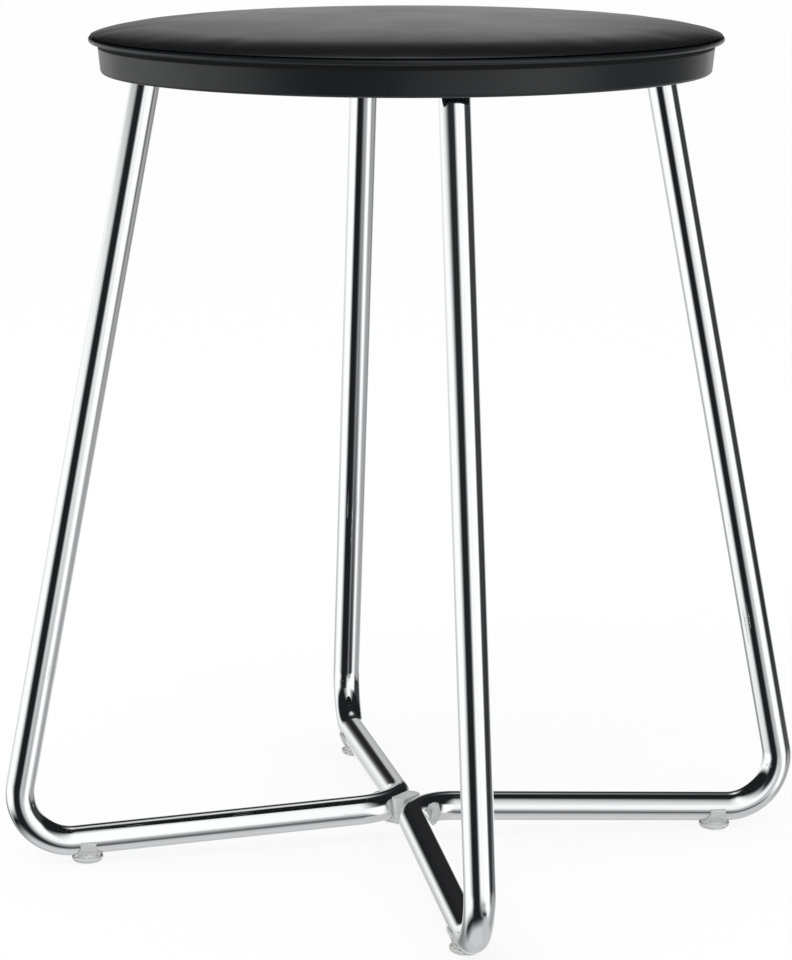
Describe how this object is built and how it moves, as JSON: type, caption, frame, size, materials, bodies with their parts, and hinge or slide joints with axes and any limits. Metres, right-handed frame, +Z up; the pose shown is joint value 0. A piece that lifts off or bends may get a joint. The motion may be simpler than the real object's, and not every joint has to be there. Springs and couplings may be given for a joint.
{
  "type": "round padded stool",
  "caption": "Low stool with a round padded seat in a skirted pan, on bent chrome tubes that cross back to back in a centre clip and stand on clip-on glides.",
  "frame": {"origin": "on the floor under the middle of the seat, at the bottom centre of the whole part", "axes": "+Z up; the right leg stands on +X, the back leg on +Y, the left leg on -X and the front leg, nearest the camera of the picture, on -Y"},
  "size_m": [0.4342, 0.4342, 0.4505],
  "materials": {
    "chrome": "bright mirror chrome plate on bent steel tube",
    "clear_plastic": "translucent pale grey moulded plastic, soft gloss",
    "pan_plastic": "black moulded plastic, satin with a very fine grain",
    "leatherette": "black leatherette, smooth satin with a very fine grain",
    "foam": "open-cell foam, matte",
    "carrier_plastic": "dark moulded plastic, matte",
    "steel": "zinc-plated steel"
  },
  "bodies": {
    "root": {"frame_tube_right_front": "chrome", "frame_tube_left_back": "chrome", "centre_clip": "clear_plastic", "foot_glide_right": "clear_plastic", "foot_glide_back": "clear_plastic", "foot_glide_left": "clear_plastic", "foot_glide_front": "clear_plastic", "leg_plug_right": "steel", "leg_plug_back": "steel", "leg_plug_left": "steel", "leg_plug_front": "steel", "leg_screw_right": "steel", "leg_screw_back": "steel", "leg_screw_left": "steel", "leg_screw_front": "steel", "seat_pan": "pan_plastic", "cushion_carrier": "carrier_plastic", "seat_foam": "foam", "seat_cover": "leatherette", "carrier_screw_1": "steel", "carrier_screw_2": "steel", "carrier_screw_3": "steel", "carrier_screw_4": "steel"}
  },
  "joints": []
}
